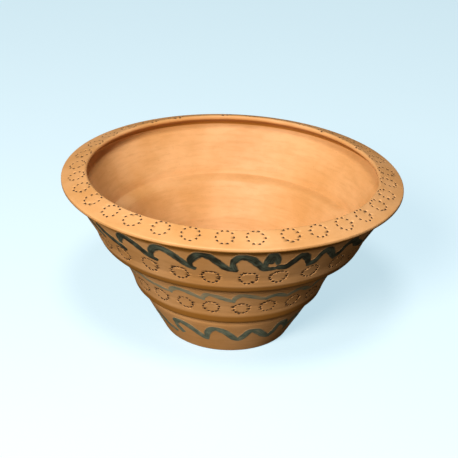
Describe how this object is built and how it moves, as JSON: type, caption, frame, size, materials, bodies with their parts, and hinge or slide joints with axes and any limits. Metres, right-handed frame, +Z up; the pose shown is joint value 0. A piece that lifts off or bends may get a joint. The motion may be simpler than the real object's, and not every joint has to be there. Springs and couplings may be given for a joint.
{
  "type": "cone planter",
  "caption": "Thrown terracotta planter: a stepped cone in nested tiers, wide flat rim, brushed slip waves on the walls, drain hole in the base.",
  "frame": {"origin": "centre of the base, on the ground", "axes": "+Z up along the axis that the pot was thrown on; -Y is the side that faces the viewer"},
  "size_m": [0.4499, 0.45, 0.2281],
  "materials": {
    "terracotta": "matt bisque-fired",
    "dark_slip": "matt brushed slip"
  },
  "bodies": {
    "root": {"pot_body": "terracotta", "upper_wave_slip": "dark_slip", "middle_wave_slip": "dark_slip", "lower_wave_slip": "dark_slip"}
  },
  "joints": []
}
